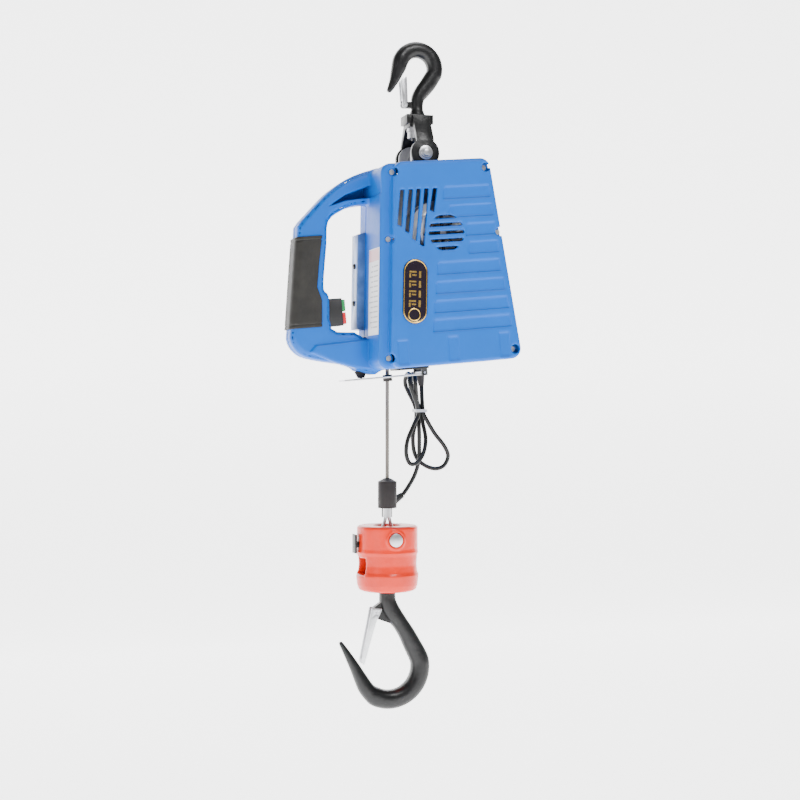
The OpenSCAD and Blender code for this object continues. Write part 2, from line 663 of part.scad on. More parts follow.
module load_hook_body() {
    bowl([0, 0], load_saddle_r - 0.5, load_saddle_r + 26.2, 26, -127, 12);
    hull() {
        arm_disc(43.4, 9, 13.2, 12.6, -12);
        arm_disc(31.9, 32.6, 12.1, 12, -30);
    }
    hull() {
        arm_disc(31.9, 32.6, 12.1, 12, -30);
        arm_disc(17.5, 57, 10.3, 11.4, -33);
    }
    hull() {
        arm_disc(17.5, 57, 10.3, 11.4, -33);
        arm_disc(-3, 87, 11.6, 11.2, 0);
    }
    hull() {
        arm_disc(-26.3, -34.6, 12, 12, -53);
        arm_disc(-39.4, -15.9, 10, 10.6, -27);
    }
    hull() {
        arm_disc(-39.4, -15.9, 10, 10.6, -27);
        arm_disc(-56.8, 15.5, 5.5, 6.8, -30);
    }
    hull() {
        arm_disc(-56.8, 15.5, 5.5, 6.8, -30);
        arm_disc(-69.5, 36.5, 2.4, 3, -33);
    }
    post(11, 86, 142, [-3, 0]);
    slab([[-3, 94], [-14, 90], [-25, 83], [-25, 71], [-11, 65], [8, 58]], -4.5, 4.5);
}
module load_latch_pin() color(steel) rod(2, -8.5, 8.5, load_bowl + load_pivot);
module load_hook_nut() color(steel) translate([rope_x, 0, 0]) difference() {
    union() {
        post(22, block_bottom + 22.3, block_bottom + 27);
        post(20, block_bottom + 27, block_bottom + 35);
    }
    post(11, block_bottom, block_top);
}
module load_latch() color(zinc) translate([load_bowl.x, 0, load_bowl.y]) difference() {
    union() {
        for (side = [-1, 1])
            slab(rounded([[-12, 82], [-27, 84], [-30, 68], [-42, 10], [-38, 5], [-20, 66]], 2, 3),
                side * 6.2 - 1, side * 6.2 + 1);
        slab([[-29.6, 60], [-27.8, 60], [-37.6, 12], [-39.4, 12]], -6, 6);
    }
    rod(2 + fit, -9, 9, load_pivot);
}

top_hook();
top_latch();
top_latch_pin();
hook_nut();
swivel_bearing();
yoke();
suspension_bolt();
bolt_washers();
bolt_nut();
front_shell();
rear_shell();
hand_grip();
switch_box();
up_button();
down_button();
side_cover();
side_cover_screws();
rating_plate();
front_badge();
case_screws();
front_frame_plate();
rear_frame_plate();
gear_plate();
frame_spacers();
shaft_bearings();
drum();
rope_winding();
drum_shaft();
drum_gear();
layshaft();
layshaft_gear();
motor_case();
motor_stator();
motor_rotor();
motor_shaft();
motor_pinion();
cooling_fan();
capacitor();
control_board();
limit_bracket();
limit_pin();
limit_plate();
plate_bush();
limit_rod();
limit_boot();
limit_switch();
cord_gland();
power_cord();
cord_tie();
mains_plug();
rope_fall();
rope_stopper();
rope_end_fitting();
block_casting();
block_pin();
block_clip();
load_hook();
load_hook_nut();
load_latch_pin();
load_latch();
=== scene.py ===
import bmesh
import bpy
import json
import math
import numpy as np
import openvdb
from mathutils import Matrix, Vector


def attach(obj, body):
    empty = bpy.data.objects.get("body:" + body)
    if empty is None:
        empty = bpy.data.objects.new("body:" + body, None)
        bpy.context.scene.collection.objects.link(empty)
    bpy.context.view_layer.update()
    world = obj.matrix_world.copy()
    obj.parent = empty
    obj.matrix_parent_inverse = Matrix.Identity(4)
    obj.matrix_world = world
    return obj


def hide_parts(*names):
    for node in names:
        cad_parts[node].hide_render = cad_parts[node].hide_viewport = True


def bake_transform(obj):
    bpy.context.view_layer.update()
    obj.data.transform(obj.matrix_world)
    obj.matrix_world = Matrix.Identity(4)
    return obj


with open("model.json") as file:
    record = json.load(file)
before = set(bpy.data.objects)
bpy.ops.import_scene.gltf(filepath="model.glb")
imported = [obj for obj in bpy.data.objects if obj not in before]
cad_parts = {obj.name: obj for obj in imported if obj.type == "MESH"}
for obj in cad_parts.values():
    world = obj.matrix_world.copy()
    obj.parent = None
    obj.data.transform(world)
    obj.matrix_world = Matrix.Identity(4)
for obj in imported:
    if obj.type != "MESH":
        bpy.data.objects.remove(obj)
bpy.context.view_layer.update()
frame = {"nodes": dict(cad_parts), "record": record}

# ---------------------------------------------------------------- sizes, in millimetres
MM = 0.001
LEAN = math.radians(5)
BOLT_Z = -123.0
CASE_TOP, CASE_BOTTOM = -16.5, -290.0
FRONT, LEDGE, REAR = -85.0, -73.0, 75.0
HANDLE_HALF = 20.0
WALL = 3.0
ROPE_X = -43.0
STOPPER_Z = -573.0
BLOCK_TOP = STOPPER_Z - 60.5
BLOCK_BOTTOM = BLOCK_TOP - 90.0
PIN_Z = BLOCK_TOP - 17.5
LOAD_BOWL = (ROPE_X + 3, BLOCK_BOTTOM - 106.5)
BACK_STEP = 34.0
PARTING_GAP = 0.3
EDGE_ROUND = 14.0             # the casing's corners, seen from the front
LOOP_ROUND = 9.0              # the handle loop's long edges
BOSS_R, SCREW_HOLE_R = 6.5, 2.1
CORD_R = 3.0
FIELD_FLOOR, FIELD_CEILING = -296, -8

CORD_ROUTE = [
    (22, 48, -440), (23, 44, -476), (30, 43, -492), (41, 44, -509), (55, 45, -526), (62, 48, -541),
    (56, 50, -555), (43, 53, -559), (28, 58, -553), (17, 61, -540), (13, 60, -515), (17, 57, -476),
    (4, 66, -440), (3, 57, -425), (2, 40, -425), (0, 31, -440), (16, 43, -476),
    (9, 43, -496), (0, 43, -517), (-2, 44, -536), (3, 45, -550), (13, 46, -551), (24, 48, -539),
    (30, 53, -518), (27, 56, -495), (23, 57, -476), (13, 66, -440), (10.5, 57, -425),
    (8.5, 40, -425), (8, 31, -440), (17, 50, -476), (19, 50, -500), (20, 52, -525),
    (20, 54, -547), (15.5, 57, -566), (7.5, 59, -582), (-2, 60.5, -596),
]
CASE_CORNERS = [(76.6, CASE_TOP), (-74.4, CASE_TOP), (-102, CASE_BOTTOM), (102, CASE_BOTTOM)]
FACE_CORNERS = [(74.5, CASE_TOP), (-60, CASE_TOP), (-88, CASE_BOTTOM), (100, CASE_BOTTOM)]
BACK_CORNERS = [(74.5, CASE_TOP), (-62.4, CASE_TOP), (-90, CASE_BOTTOM), (100, CASE_BOTTOM)]
HANDLE_OUTLINE = [
    (-58, -15), (-78, -18), (-106, -27), (-136, -45), (-164, -70), (-180, -86), (-184, -103),
    (-203, -223), (-205, -240), (-200, -253), (-188, -264), (-163, -272), (-132, -279),
    (-119, -285), (-111, -290), (-80, -290), (-60, -200), (-50, -60),
]
HAND_OPENING = [
    (-60, -62), (-98, -64), (-118, -70), (-138, -84), (-143, -115), (-150, -155), (-152, -176),
    (-146, -186), (-146, -229), (-115, -236), (-80, -239),
]
SCREW_SPOTS = [(-61, -29), (-74, -118), (-87, -276), (69, -29), (81.5, -117), (90, -277)]
RIBS = [(-54, 6, 70), (-79, 12, 72), (-104.5, 34, 74), (-129, 36, 76),
        (-154.5, -11, 76), (-180, -15, 80.5), (-205.5, -19, 83.5), (-230.5, -23, 85)]
SLOTS = [(-52, -60, -102), (-40, -50, -111), (-29, -41, -122), (-18, -31, -130), (-6, -13, -85)]
GRILLE = (5.0, -114.0, 25.0)
BADGE = (-46.0, -190.0)
BADGE_HALF, BADGE_LONG = 17.0, 26.0
BADGE_TILT = math.radians(-6)


def upright_point(x, y, z):
    """A point of the leaned casing, given in its upright frame, in metres in the row frame."""
    return Vector((
        (x * math.cos(LEAN) - z * math.sin(LEAN)) * MM,
        y * MM,
        (BOLT_Z + x * math.sin(LEAN) + z * math.cos(LEAN)) * MM,
    ))


# ---------------------------------------------------------------- camera and light
def make_camera():
    camera = bpy.data.objects.new("camera", bpy.data.cameras.new("camera"))
    bpy.context.scene.collection.objects.link(camera)
    camera.data.lens = 67
    camera.data.sensor_width = 36
    camera.location = (-0.6277, -1.9727, -0.4608)
    camera.rotation_euler = (math.pi / 2, 0, math.radians(-17))
    bpy.context.scene.camera = camera


def area_light(name, place, target, size, power):
    light = bpy.data.objects.new(name, bpy.data.lights.new(name, "AREA"))
    bpy.context.scene.collection.objects.link(light)
    light.data.shape = "RECTANGLE"
    light.data.size, light.data.size_y = size
    light.data.energy = power
    light.location = place
    light.rotation_euler = (Vector(target) - Vector(place)).to_track_quat("-Z", "Y").to_euler()


def make_studio():
    world = bpy.data.worlds.new("studio")
    world.use_nodes = True
    background = world.node_tree.nodes["Background"]
    background.inputs["Color"].default_value = (1, 1, 1, 1)
    background.inputs["Strength"].default_value = 0.3
    bpy.context.scene.world = world
    area_light("key", (0.5, -2.4, 1.5), (0, 0, -0.35), (0.9, 0.9), 46)
    area_light("fill", (-2.1, -1.4, -0.2), (0, 0, -0.45), (1.2, 1.6), 9)
    area_light("top", (0.1, 0.2, 1.7), (0, 0, -0.4), (1.4, 1.0), 26)
    # A floor that curves up into a plain backdrop, well below the hanging hoist
    steps = 12
    radius = 1.0
    profile = [(-6.0, -1.3), (3.0, -1.3)]
    for k in range(1, steps + 1):
        angle = math.pi / 2 * k / steps
        profile.append((3.0 + radius * math.sin(angle), -1.3 + radius * (1 - math.cos(angle))))
    profile.append((4.0, 4.0))
    mesh = bpy.data.meshes.new("floor")
    verts = [(x, y, z) for y, z in profile for x in (-8.0, 8.0)]
    faces = [(2 * i, 2 * i + 1, 2 * i + 3, 2 * i + 2) for i in range(len(profile) - 1)]
    mesh.from_pydata(verts, [], faces)
    mesh.shade_smooth()
    floor = bpy.data.objects.new("floor", mesh)
    bpy.context.scene.collection.objects.link(floor)
    floor.data.materials.append(plain_floor())


# ---------------------------------------------------------------- materials
class Shader:
    """A material's node tree, with short calls for the nodes that the finishes share."""

    def __init__(self, name, colour, roughness, metallic=0.0, coat=0.0, specular=0.5):
        self.material = bpy.data.materials.new(name)
        self.material.use_nodes = True
        self.nodes = self.material.node_tree.nodes
        self.links = self.material.node_tree.links
        self.bsdf = self.nodes["Principled BSDF"]
        self.bsdf.inputs["Base Color"].default_value = (*colour, 1)
        self.bsdf.inputs["Roughness"].default_value = roughness
        self.bsdf.inputs["Metallic"].default_value = metallic
        self.bsdf.inputs["Coat Weight"].default_value = coat
        self.bsdf.inputs["Specular IOR Level"].default_value = specular
        coordinate = self.nodes.new("ShaderNodeTexCoord")
        self.place = coordinate.outputs["Object"]

    def stretched(self, scale):
        mapping = self.nodes.new("ShaderNodeMapping")
        mapping.inputs["Scale"].default_value = scale
        self.links.new(self.place, mapping.inputs["Vector"])
        return mapping.outputs["Vector"]

    def noise(self, scale, detail=3.0, stretch=None, roughness=0.55):
        node = self.nodes.new("ShaderNodeTexNoise")
        node.inputs["Scale"].default_value = scale
        node.inputs["Detail"].default_value = detail
        node.inputs["Roughness"].default_value = roughness
        self.links.new(self.stretched(stretch) if stretch else self.place, node.inputs["Vector"])
        return node.outputs["Fac"]

    def cells(self, scale):
        node = self.nodes.new("ShaderNodeTexVoronoi")
        node.inputs["Scale"].default_value = scale
        self.links.new(self.place, node.inputs["Vector"])
        return node.outputs["Distance"]

    def ramp(self, fac, stops):
        node = self.nodes.new("ShaderNodeValToRGB")
        elements = node.color_ramp.elements
        while len(elements) < len(stops):
            elements.new(0.5)
        for element, (at, colour) in zip(elements, stops):
            element.position = at
            element.color = (*colour, 1)
        self.links.new(fac, node.inputs["Fac"])
        return node.outputs["Color"]

    def span(self, fac, low, high):
        node = self.nodes.new("ShaderNodeMapRange")
        node.inputs["To Min"].default_value = low
        node.inputs["To Max"].default_value = high
        self.links.new(fac, node.inputs["Value"])
        return node.outputs["Result"]

    def colour(self, socket):
        self.links.new(socket, self.bsdf.inputs["Base Color"])
        return self

    def roughness(self, socket):
        self.links.new(socket, self.bsdf.inputs["Roughness"])
        return self

    def bump(self, heights):
        """Adds a bump for each (height, strength, distance), one on top of another."""
        normal = None
        for height, strength, distance in heights:
            node = self.nodes.new("ShaderNodeBump")
            node.inputs["Strength"].default_value = strength
            node.inputs["Distance"].default_value = distance
            self.links.new(height, node.inputs["Height"])
            if normal:
                self.links.new(normal, node.inputs["Normal"])
            normal = node.outputs["Normal"]
        self.links.new(normal, self.bsdf.inputs["Normal"])
        return self


def tones(colour, spread):
    return [tuple(max(0.0, c * (1 + s)) for c in colour) for s in (-spread, 0, spread)]


def mottled(shader, colour, spread, scale):
    low, mid, high = tones(colour, spread)
    return shader.colour(shader.ramp(shader.noise(scale), [(0.3, low), (0.5, mid), (0.7, high)]))


def plain_floor():
    shader = Shader("floor_paint", (0.95, 0.95, 0.95), 0.9)
    mottled(shader, (0.95, 0.95, 0.95), 0.01, 2)
    shader.bsdf.inputs["Emission Color"].default_value = (1, 1, 1, 1)
    shader.bsdf.inputs["Emission Strength"].default_value = 3.0
    return shader.material


def moulded_plastic(name, colour, roughness, coat=0.0, spread=0.05, specular=0.5):
    shader = Shader(name, colour, roughness, coat=coat, specular=specular)
    mottled(shader, colour, spread, 14)
    shader.roughness(shader.span(shader.noise(90, 4), roughness - 0.06, roughness + 0.08))
    shader.bump([(shader.cells(1500), 0.12, 0.00012), (shader.noise(60), 0.08, 0.0006)])
    return shader.material


def forged_enamel(name, colour, coat):
    shader = Shader(name, colour, 0.3, coat=coat, specular=0.4)
    mottled(shader, colour, 0.35, 40)
    shader.roughness(shader.span(shader.noise(120, 5), 0.2, 0.48))
    shader.bump([(shader.noise(75, 4), 0.35, 0.0022), (shader.noise(420, 3), 0.3, 0.0005)])
    return shader.material


def brushed_metal(name, colour, roughness=0.3, stretch=(12, 12, 1)):
    shader = Shader(name, colour, roughness, metallic=1.0)
    mottled(shader, colour, 0.12, 60)
    grain = shader.noise(260, 4, stretch)
    shader.roughness(shader.span(grain, roughness - 0.1, roughness + 0.14))
    shader.bump([(grain, 0.1, 0.0002)])
    return shader.material


def soft_rubber(name, colour, roughness=0.62):
    shader = Shader(name, colour, roughness, specular=0.35)
    mottled(shader, colour, 0.25, 35)
    shader.roughness(shader.span(shader.noise(150, 4), roughness - 0.1, roughness + 0.12))
    shader.bump([(shader.noise(900, 2), 0.2, 0.0003), (shader.noise(90), 0.15, 0.0008)])
    return shader.material


def brushed_rubber(name, colour):
    shader = Shader(name, colour, 0.55, specular=0.35)
    mottled(shader, colour, 0.3, 45)
    ribs = shader.noise(140, 3, (1, 1, 0.06))
    shader.roughness(shader.span(ribs, 0.42, 0.7))
    shader.bump([(ribs, 0.45, 0.0012), (shader.noise(700, 2), 0.2, 0.0003)])
    return shader.material


def cast_enamel(name, colour):
    shader = Shader(name, colour, 0.3, coat=0.12, specular=0.35)
    low, mid, high = tones(colour, 0.14)
    shader.colour(shader.ramp(shader.noise(25, 5), [(0.25, low), (0.5, mid), (0.75, high)]))
    shader.roughness(shader.span(shader.noise(70, 4), 0.22, 0.42))
    shader.bump([(shader.noise(130, 4), 0.32, 0.0016), (shader.noise(520, 2), 0.16, 0.0004)])
    return shader.material


def laminated(name, colour):
    shader = Shader(name, colour, 0.5, metallic=0.6)
    mottled(shader, colour, 0.2, 50)
    shader.bump([(shader.noise(300, 1, (0.02, 6, 0.02)), 0.5, 0.0005)])
    return shader.material


def circuit_board(name, colour):
    shader = Shader(name, colour, 0.35, coat=0.3)
    low, mid, high = tones(colour, 0.6)
    shader.colour(shader.ramp(shader.cells(160), [(0.2, low), (0.5, mid), (0.8, high)]))
    shader.bump([(shader.cells(220), 0.3, 0.0006)])
    return shader.material


BLUE = (0.0, 0.115, 0.52)
MATERIALS = {
    "case_blue": lambda: moulded_plastic("case_blue", BLUE, 0.42, spread=0.04, specular=0.22),
    "cover_blue": lambda: forged_enamel("cover_blue", (0.07, 0.16, 0.38), 0.2),
    "forged_black": lambda: forged_enamel("forged_black", (0.0035, 0.0035, 0.004), 0.05),
    "plated_steel": lambda: brushed_metal("plated_steel", (0.66, 0.67, 0.69), 0.3),
    "machined_steel": lambda: brushed_metal("machined_steel", (0.45, 0.45, 0.47), 0.36),
    "drum_alloy": lambda: brushed_metal("drum_alloy", (0.72, 0.73, 0.75), 0.32, (1, 1, 14)),
    "wire_rope": lambda: brushed_metal("wire_rope", (0.26, 0.24, 0.22), 0.34, (1, 1, 9)),
    "grip_rubber": lambda: brushed_rubber("grip_rubber", (0.017, 0.016, 0.014)),
    "black_rubber": lambda: soft_rubber("black_rubber", (0.015, 0.012, 0.0125), 0.55),
    "cord_pvc": lambda: soft_rubber("cord_pvc", (0.003, 0.003, 0.0032), 0.32),
    "black_plastic": lambda: moulded_plastic("black_plastic", (0.010, 0.010, 0.011), 0.45),
    "green_plastic": lambda: moulded_plastic("green_plastic", (0.0, 0.32, 0.07), 0.3, 0.2),
    "red_plastic": lambda: moulded_plastic("red_plastic", (0.85, 0.010, 0.025), 0.3, 0.2),
    "tie_grey": lambda: moulded_plastic("tie_grey", (0.52, 0.52, 0.54), 0.4),
    "block_orange": lambda: cast_enamel("block_orange", (0.80, 0.022, 0.0)),
    "motor_core": lambda: laminated("motor_core", (0.14, 0.11, 0.09)),
    "board_green": lambda: circuit_board("board_green", (0.02, 0.17, 0.06)),
    "badge": lambda: moulded_plastic("badge", (0.008, 0.003, 0.010), 0.2, 0.3),
    "gold": lambda: brushed_metal("gold", (0.78, 0.50, 0.12), 0.25),
    "label_white": lambda: moulded_plastic("label_white", (0.80, 0.80, 0.80), 0.4, 0.2, 0.02),
    "label_pink": lambda: moulded_plastic("label_pink", (0.72, 0.36, 0.38), 0.4, 0.2, 0.03),
    "label_grey": lambda: moulded_plastic("label_grey", (0.36, 0.36, 0.38), 0.4, 0.2, 0.05),
}
made_materials = {}


def finish_of(name):
    if name not in made_materials:
        made_materials[name] = MATERIALS[name]()
    return made_materials[name]


# ---------------------------------------------------------------- mesh helpers
def add_object(name, mesh, body, finish, nodes=()):
    piece = bpy.data.objects.new(name, mesh)
    bpy.context.scene.collection.objects.link(piece)
    mesh.materials.append(finish_of(finish))
    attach(piece, body)
    if nodes:
        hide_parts(*nodes)
    return piece


def mesh_of(name, verts, faces, sharp_degrees=40):
    mesh = bpy.data.meshes.new(name)
    mesh.from_pydata([tuple(v) for v in verts], [], [tuple(f) for f in faces])
    mesh.validate()
    mesh.shade_smooth()
    mesh.set_sharp_from_angle(angle=math.radians(sharp_degrees))
    return mesh


def catmull(points, parts):
    """A smooth curve through the points, each stretch cut into so many parts."""
    p = np.array(points, float)
    rows = []
    for i in range(len(p) - 1):
        a, b, c, d = p[max(i - 1, 0)], p[i], p[i + 1], p[min(i + 2, len(p) - 1)]
        for k in range(parts):
            t = k / parts
            rows.append(0.5 * (2 * b + (c - a) * t + (2 * a - 5 * b + 4 * c - d) * t * t
                               + (3 * b - a - 3 * c + d) * t ** 3))
    rows.append(p[-1])
    return np.array(rows)


def sweep(line, sides, section):
    """Verts and faces of a closed sweep; section(i, angle) gives the two offsets at a ring."""
    ways = np.gradient(line, axis=0)
    ways /= np.linalg.norm(ways, axis=1)[:, None]
    side = np.array([1.0, 0, 0]) if abs(ways[0][0]) < 0.9 else np.array([0, 1.0, 0])
    verts = []
    for i, (point, way) in enumerate(zip(line, ways)):
        side = side - way * side.dot(way)
        side /= np.linalg.norm(side)
        other = np.cross(way, side)
        for k in range(sides):
            a, b = section(i, 2 * math.pi * k / sides)
            verts.append(point + side * a + other * b)
    faces = []
    for i in range(len(line) - 1):
        for k in range(sides):
            n = (k + 1) % sides
            faces.append((i * sides + k, i * sides + n, (i + 1) * sides + n, (i + 1) * sides + k))
    faces.append(tuple(reversed(range(sides))))
    faces.append(tuple((len(line) - 1) * sides + k for k in range(sides)))
    return verts, faces


def in_metres(verts):
    return [Vector(v) * MM for v in verts]


def round_tube(line, radius, sides=16):
    return sweep(line, sides, lambda i, a: (radius * math.cos(a), radius * math.sin(a)))


def bevelled(node, body, slot, width):
    """A CAD node's shape with its edges rounded, which stands for that node."""
    source = frame["nodes"][node]
    mesh = source.data.copy()
    mesh.materials.clear()
    work = bmesh.new()
    work.from_mesh(mesh)
    bmesh.ops.remove_doubles(work, verts=work.verts, dist=1e-6)
    bmesh.ops.dissolve_limit(work, angle_limit=math.radians(1), verts=work.verts,
                             edges=work.edges)
    work.to_mesh(mesh)
    work.free()
    piece = add_object(node + "_round", mesh, body, slot, (node,))
    modifier = piece.modifiers.new("edges", "BEVEL")
    modifier.width = width * MM
    modifier.segments = 2
    modifier.limit_method = "ANGLE"
    modifier.angle_limit = math.radians(30)
    apply_modifiers(piece)
    piece.data.shade_smooth()
    piece.data.set_sharp_from_angle(angle=math.radians(35))
    return piece


def apply_modifiers(piece):
    graph = bpy.context.evaluated_depsgraph_get()
    mesh = bpy.data.meshes.new_from_object(piece.evaluated_get(graph))
    piece.modifiers.clear()
    piece.data = mesh


# ---------------------------------------------------------------- solid fields
class Field:
    """A grid of points, in millimetres, for signed distances that are negative inside."""

    def __init__(self, low, high, step):
        self.low, self.step = np.array(low, float), step
        self.axes = [np.arange(a, b + step, step, dtype=np.float32) for a, b in zip(low, high)]
        self.x = self.axes[0][:, None, None]
        self.y = self.axes[1][None, :, None]
        self.z = self.axes[2][None, None, :]
        self.flat_x, self.flat_z = np.meshgrid(self.axes[0], self.axes[2], indexing="ij")

    def outline(self, points):
        """Distance in the x and z plane to a closed outline."""
        x, z = self.flat_x, self.flat_z
        nearest = np.full(x.shape, 1e6, np.float32)
        inside = np.zeros(x.shape, bool)
        for i, (x1, z1) in enumerate(points):
            x0, z0 = points[i - 1]
            ex, ez = x1 - x0, z1 - z0
            t = np.clip(((x - x0) * ex + (z - z0) * ez) / (ex * ex + ez * ez), 0, 1)
            nearest = np.minimum(nearest, np.hypot(x - x0 - t * ex, z - z0 - t * ez))
            if z0 != z1:
                inside ^= ((z0 > z) != (z1 > z)) & (x < x0 + (z - z0) * ex / ez)
        return np.where(inside, -nearest, nearest)[:, None, :]

    def disc(self, spot, radius):
        return (np.hypot(self.flat_x - spot[0], self.flat_z - spot[1]) - radius)[:, None, :]

    def capsule(self, start, end, radius):
        ex, ez = end[0] - start[0], end[1] - start[1]
        dx, dz = self.flat_x - start[0], self.flat_z - start[1]
        t = np.clip((dx * ex + dz * ez) / (ex * ex + ez * ez), 0, 1)
        return (np.hypot(dx - t * ex, dz - t * ez) - radius)[:, None, :]


def rimmed(a, b, r):
    """Where both a and b are inside, with the edge between them rounded to r."""
    return (np.hypot(np.maximum(a + r, 0), np.maximum(b + r, 0))
            + np.minimum(np.maximum(a, b) + r, 0) - r)


def joined(a, b, soft=0.01):
    h = np.maximum(soft - np.abs(a - b), 0) / soft
    return np.minimum(a, b) - h * h * soft / 4


def carved(a, b, soft=0.01):
    return -joined(-a, b, soft)


def field_mesh(name, field, values, fineness, leaned=False):
    """A mesh of the surface of a field, with flat places in larger faces."""
    grid = openvdb.FloatGrid(background=4.0)
    grid.copyFromArray(np.ascontiguousarray(np.clip(values, -4, 4), dtype=np.float32))
    points, triangles, quads = grid.convertToPolygons(isovalue=0.0, adaptivity=fineness)
    points = points * field.step + field.low
    if leaned:
        x, z = points[:, 0].copy(), points[:, 2].copy()
        points[:, 0] = x * math.cos(LEAN) - z * math.sin(LEAN)
        points[:, 2] = BOLT_Z + x * math.sin(LEAN) + z * math.cos(LEAN)
    faces = [tuple(int(v) for v in f) for part in (quads, triangles) for f in part]
    mesh = bpy.data.meshes.new(name)
    mesh.from_pydata((points * MM).tolist(), [], faces)
    mesh.validate()
    mesh.shade_smooth()
    mesh.set_sharp_from_angle(angle=math.radians(60))
    return mesh


# ---------------------------------------------------------------- casing
def inset_corners(corners, d):
    """The corners of a convex outline, in anticlockwise order, moved inwards by d."""
    moved = []
    for i, (x, z) in enumerate(corners):
        ax, az = corners[i - 1]
        bx, bz = corners[(i + 1) % len(corners)]
        u = Vector((x - ax, z - az)).normalized()
        v = Vector((bx - x, bz - z)).normalized()
        m = (Vector((-u.y, u.x)) + Vector((-v.y, v.x))).normalized()
        k = d / m.dot(Vector((-u.y, u.x)))
        moved.append((x + m.x * k, z + m.y * k))
    return moved


def softened(points, parts=3):
    """A closed outline drawn as a smooth curve through its points."""
    ring = list(points) + [points[0]]
    return [tuple(p) for p in catmull(ring, parts)[:-1]]


def case_field(field, corners):
    return field.outline(inset_corners(corners, EDGE_ROUND)) - EDGE_ROUND


def hand_loop_field(field):
    """Distances to the handle's outside and to its hand opening."""
    outer = field.outline(softened(HANDLE_OUTLINE))
    opening = field.outline(softened(HAND_OPENING))
    return outer, opening


def shell_step():
    """The shells' grid step in millimetres."""
    return 1.0


def case_cuts(field, solid):
    """The openings in the casing's top and bottom."""
    top = np.maximum(np.maximum(np.abs(field.x) - 24, np.abs(field.y) - 41), -40 - field.z)
    solid = carved(solid, top, 1.5)
    for x, y, r in ((-68.5, 0, 7), (-6, 48, 7), (-107, 0, 4)):
        hole = np.maximum(np.hypot(field.x - x, field.y - y) - r, field.z + 275)
        solid = carved(solid, hole, 0.6)
    return solid


def make_front_shell():
    field = Field((-212, -88, FIELD_FLOOR), (108, 2, FIELD_CEILING), shell_step())
    y = field.y
    case = case_field(field, CASE_CORNERS)
    face = case_field(field, FACE_CORNERS)
    outer, opening = hand_loop_field(field)
    loop = np.maximum(outer, -opening)
    solid = rimmed(case, LEDGE - y, 5)
    solid = joined(solid, rimmed(face, FRONT - y, 4), 1.5)
    solid = joined(solid, rimmed(loop, -HANDLE_HALF - y, LOOP_ROUND), 5)
    # Long hollow under the handle's top arm, and a raised panel on its lower arm
    dent = field.outline([(-77, -39), (-77, -55), (-114, -57.5), (-137, -64), (-113, -50)])
    solid = carved(solid, rimmed(dent, y + 9, 1.0), 1.2)
    panel = field.outline([(-181, -259), (-172, -250), (-120, -248), (-84, -246), (-84, -292),
                           (-119, -285), (-148, -275)])
    solid = joined(solid, rimmed(panel, -HANDLE_HALF - 3 - y, 3), 0.8)
    # Hollow inside
    inside = np.maximum(case + WALL, LEDGE + WALL - y)
    inside = joined(inside, np.maximum(face + WALL, FRONT + 5 - y))
    solid = carved(solid, inside)
    arm = np.maximum(np.maximum(loop + WALL, -HANDLE_HALF + WALL - y), -case)
    solid = carved(solid, arm)
    for spot in SCREW_SPOTS:
        boss = np.maximum(np.maximum(field.disc(spot, BOSS_R), LEDGE + 0.5 - y), case + 1)
        solid = joined(solid, boss, 1)
    for spot in SCREW_SPOTS:
        solid = carved(solid, np.maximum(field.disc(spot, 6.0), y - LEDGE), 1.2)
        solid = carved(solid, np.maximum(field.disc(spot, 3.8), y - LEDGE - 2.5), 0.6)
        solid = carved(solid, field.disc(spot, SCREW_HOLE_R), 0.3)
    # Shallow recesses across the face, with soft floors
    for top, left, right in RIBS:
        recess = field.outline([(right, top), (left + 2, top), (left, top - 3),
                                (left - 1.5, top - 14.5), (right + 1.5, top - 14.5)])
        solid = carved(solid, rimmed(recess - 0.5, y - FRONT - 1.6, 0.6), 1.0)
    for top_x, foot_x, foot_z in SLOTS:
        slot = field.outline([(top_x + 2.9, -54), (top_x - 2.9, -54),
                              (foot_x - 2.9, foot_z + 2), (foot_x + 2.9, foot_z - 1)])
        solid = carved(solid, np.maximum(slot, y - FRONT - 6), 0.3)
    gx, gz, gr = GRILLE
    for row in range(-2, 3):
        bar = np.abs(field.z - (gz + row * 10.6)) - 2.2
        solid = carved(solid, np.maximum(
            rimmed(field.disc((gx, gz), gr), bar, 0.8), y - FRONT - 6), 0.3)
    for left in (-76, -5, 68):
        groove = np.maximum(np.abs(field.x - (left + 7)) - 7, field.z + 254)
        groove = np.maximum(groove, -286 - field.z)
        solid = carved(solid, rimmed(groove, y - FRONT - 1.3, 0.8), 1.2)
    long = Vector((math.sin(math.radians(6)), math.cos(math.radians(6)))) * 26
    badge = field.capsule((BADGE[0] + long.x, BADGE[1] + long.y),
                          (BADGE[0] - long.x, BADGE[1] - long.y), 17.6)
    solid = carved(solid, np.maximum(badge, y - FRONT - 0.8), 0.4)
    solid = case_cuts(field, solid)
    solid = np.maximum(solid, y + PARTING_GAP)
    mesh = field_mesh("front_shell_moulded", field, solid, 0.004, leaned=True)
    return add_object("front_shell_moulded", mesh, "casing", "case_blue", ("front_shell",))


